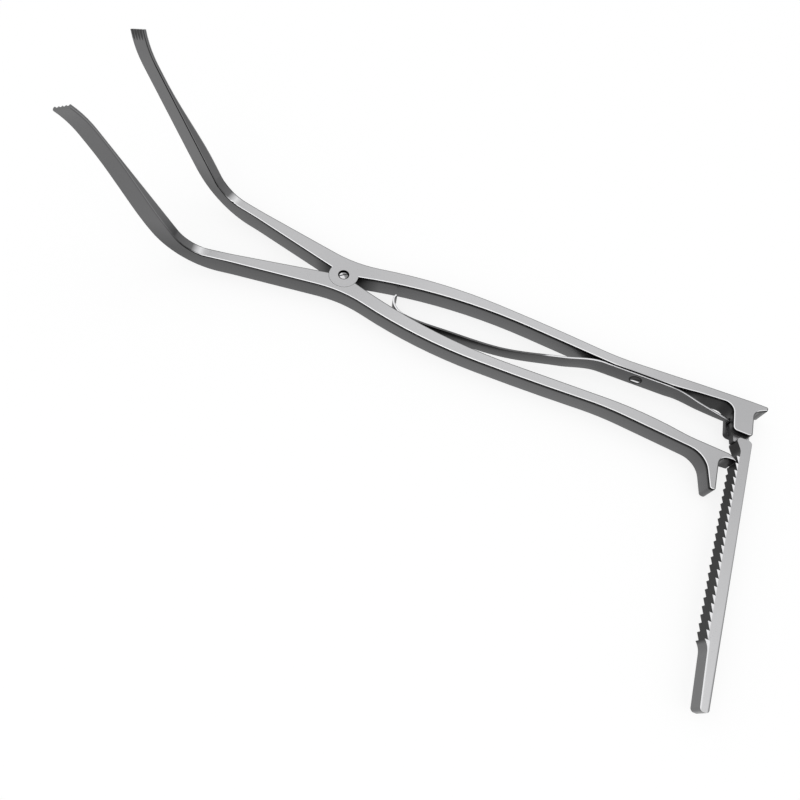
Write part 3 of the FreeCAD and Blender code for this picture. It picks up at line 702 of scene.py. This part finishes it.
    def countersink(self) -> bpy.types.Object:
        """Cutter for the screw's hole: a cone carried on past both faces, by the reach in thicknesses."""
        along, out = self.seat_frame()
        share = (self.seat_front[0] - SPRING_SCREW_X) / (self.seat_front[0] - self.seat_rear[0])
        foot = np.array(self.seat_front) + (np.array(self.seat_rear) - self.seat_front) * share
        turn = np.linspace(0, 2 * math.pi, self.hole_points, endpoint=False)
        slope = (self.countersink_radius - self.hole_radius) / self.thickness
        depth = np.array(self.cutter_reach)[:, None] * self.thickness
        radius = self.hole_radius + slope * depth
        offset = radius * np.cos(turn)[None, :]
        plan = foot + out * depth[:, :, None] + along * offset[:, :, None]
        height = self.mid_height + radius * np.sin(turn)[None, :]
        points = np.concatenate([plan, height[:, :, None]], axis=-1)
        return mesh_piece("countersink_cutter", points.reshape(-1, 3), grid_faces(2, len(turn)))

    def build(self, nodes: dict[str, bpy.types.Object]) -> bpy.types.Object:
        """Make the strip, cut its hole, dress it and hang it between the two arms.

        Args:
            nodes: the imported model's nodes.

        Returns:
            The finished strip.
        """
        strip = self.strip()
        cutter = self.countersink()
        recalculate(strip)
        recalculate(cutter)
        hole = strip.modifiers.new("hole", "BOOLEAN")
        hole.operation = "DIFFERENCE"
        hole.solver = "EXACT"
        hole.object = cutter
        bpy.context.view_layer.update()
        cut = bpy.data.meshes.new_from_object(strip.evaluated_get(bpy.context.evaluated_depsgraph_get()))
        strip.modifiers.clear()
        strip.data = cut
        bpy.data.objects.remove(cutter)
        smooth(strip)
        dress(strip, self.finish.material())
        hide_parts("leaf_spring")
        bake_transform(strip)
        dress(nodes["spring_screw"], self.screw_finish.material())
        return strip


def recalculate(piece: bpy.types.Object) -> None:
    """Turn all faces of a closed piece outwards."""
    work = bmesh.new()
    work.from_mesh(piece.data)
    bmesh.ops.recalc_face_normals(work, faces=work.faces)
    work.to_mesh(piece.data)
    work.free()


def smooth(piece: bpy.types.Object, angle: float = 30.0) -> None:
    """Shade a piece smoothly, with creases kept where faces meet at more than an angle in degrees."""
    piece.data.shade_smooth()
    piece.data.set_sharp_from_angle(angle=math.radians(angle))


@dataclass
class Arms:
    """The two forged levers and the screw of their half-lap joint."""

    finish: Steel = field(default=ARM_STEEL)
    screw_finish: Steel = field(default=SCREW_STEEL)

    def build(self, nodes: dict[str, bpy.types.Object]) -> None:
        """Dress the levers and their screw."""
        steel = self.finish.material()
        dress(nodes["rack_arm"], steel)
        dress(nodes["pawl_arm"], steel)
        dress(nodes["pivot_screw"], self.screw_finish.material())


@dataclass
class Ratchet:
    """The toothed rack and the pin that it turns on."""

    finish: Steel = field(default=RACK_STEEL)
    pin_finish: Steel = field(default=ARM_STEEL)

    def build(self, nodes: dict[str, bpy.types.Object]) -> None:
        """Dress the rack and its pin."""
        dress(nodes["ratchet_rack"], self.finish.material())
        dress(nodes["rack_pin"], self.pin_finish.material())


@dataclass
class Studio:
    """Floor, background, lamp and camera."""

    focal_pixels: float = 677.774
    image_pixels: float = 800.0
    sensor: float = 36.0
    camera_place: tuple[float, float, float] = (-0.060045, 0.145887, 0.218332)
    look_at: tuple[float, float, float] = (-0.039611, 0.040211, 0.008)
    roll: float = 12.5666
    floor_size: float = 3.0
    floor_drop: float = 0.3 * MM
    floor_grey: float = 0.88
    speck_scale: float = 400.0
    speck_depth: float = 0.01
    shadow_share: float = 0.20
    sky_light: float = 1.1
    mirror_light: float = 0.96
    mirror_slope: float = 0.22
    lamp_towards: tuple[float, float, float] = (0.09, 0.5, 0.85)
    lamp_distance: float = 0.9
    lamp_size: float = 0.5
    lamp_power: float = 0.5
    clip: tuple[float, float] = (0.01, 20.0)

    def sees_background(self, shader: Shader) -> Value:
        """One for rays that come from the camera, a reflection or through glass, else nought."""
        camera = shader.node("ShaderNodeLightPath", output="Is Camera Ray")
        glossy = shader.node("ShaderNodeLightPath", output="Is Glossy Ray")
        through = shader.node("ShaderNodeLightPath", output="Is Transmission Ray")
        return camera.largest(glossy).largest(through)

    def world(self) -> None:
        """White background, and soft light from all round on the object."""
        world = bpy.data.worlds.new("studio")
        world.use_nodes = True
        bpy.context.scene.world = world
        shader = Shader(world.node_tree)
        camera = shader.node("ShaderNodeLightPath", output="Is Camera Ray")
        mirrored = shader.node("ShaderNodeLightPath", output="Is Glossy Ray")
        ahead, _, _ = shader.parts(shader.node("ShaderNodeTexCoord", output="Generated"))
        reflected = mirrored * (self.mirror_light + self.mirror_slope * ahead)
        through = shader.node("ShaderNodeLightPath", output="Is Transmission Ray")
        direct = camera.largest(through)
        seen = direct.largest(mirrored)
        strength = direct + reflected + (1.0 - seen) * self.sky_light
        light = shader.node("ShaderNodeBackground", inputs={"Color": (1, 1, 1, 1), "Strength": strength})
        shader.node("ShaderNodeOutputWorld", inputs={"Surface": light})

    def floor(self) -> None:
        """Pale floor under the instrument that keeps a faint shadow."""
        half = self.floor_size / 2
        corners = np.array([[-half, -half], [half, -half], [half, half], [-half, half]])
        points = np.column_stack([corners, np.full(4, -self.floor_drop)])
        floor = mesh_piece("floor", points, [(0, 1, 2, 3)])
        material = bpy.data.materials.new("pale_floor")
        material.use_nodes = True
        shader = Shader(material.node_tree)
        place = shader.node("ShaderNodeTexCoord", output="Object")
        speck = shader.node("ShaderNodeTexNoise", inputs={"Vector": place, "Scale": self.speck_scale})
        grey = self.floor_grey + self.speck_depth * speck
        paint = shader.node("ShaderNodeCombineXYZ", inputs={0: grey, 1: grey, 2: grey})
        matte = shader.node("ShaderNodeBsdfDiffuse", inputs={"Color": paint})
        white = shader.node("ShaderNodeEmission", inputs={"Color": (1, 1, 1, 1), "Strength": 1.0})
        share = self.sees_background(shader) * (1.0 - self.shadow_share)
        mixed = shader.node("ShaderNodeMixShader", inputs={0: share, 1: matte, 2: white})
        shader.node("ShaderNodeOutputMaterial", inputs={"Surface": mixed})
        floor.data.materials.append(material)

    def lamp(self) -> None:
        """Square soft lamp over the instrument, turned to it."""
        light = bpy.data.lights.new("soft_lamp", "AREA")
        light.energy = self.lamp_power
        light.size = self.lamp_size
        lamp = bpy.data.objects.new("soft_lamp", light)
        direction = Vector(self.lamp_towards).normalized()
        lamp.location = Vector(self.look_at) + direction * self.lamp_distance
        lamp.rotation_euler = direction.to_track_quat("Z", "Y").to_euler()
        bpy.context.scene.collection.objects.link(lamp)

    def camera(self) -> None:
        """Camera at the photograph's place, turned about its own axis as the photograph is."""
        data = bpy.data.cameras.new("camera")
        data.sensor_width = self.sensor
        data.lens = self.focal_pixels / self.image_pixels * self.sensor
        data.clip_start, data.clip_end = self.clip
        camera = bpy.data.objects.new("camera", data)
        back = (Vector(self.camera_place) - Vector(self.look_at)).normalized()
        level = back.to_track_quat("Z", "Y").to_matrix()
        turned = level @ Matrix.Rotation(math.radians(self.roll), 3, "Z")
        camera.matrix_world = Matrix.Translation(self.camera_place) @ turned.to_4x4()
        bpy.context.scene.collection.objects.link(camera)
        bpy.context.scene.camera = camera

    def build(self) -> None:
        """Set up everything round the object."""
        bpy.context.scene.view_settings.view_transform = "Standard"
        self.camera()
        self.world()
        self.floor()
        self.lamp()


def main() -> None:
    """Build the sub-assemblies in order."""
    logging.basicConfig(level=logging.INFO, format="%(name)s: %(message)s")
    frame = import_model()
    Studio().build()
    log.info("studio ready")
    Arms().build(frame["nodes"])
    log.info("arms and joint screw dressed")
    Ratchet().build(frame["nodes"])
    log.info("ratchet rack and pin dressed")
    leaf = LeafSpring().build(frame["nodes"])
    log.info("leaf spring made, %d faces", len(leaf.data.polygons))
    log.info("sizes written")


if __name__ == "__main__":
    main()
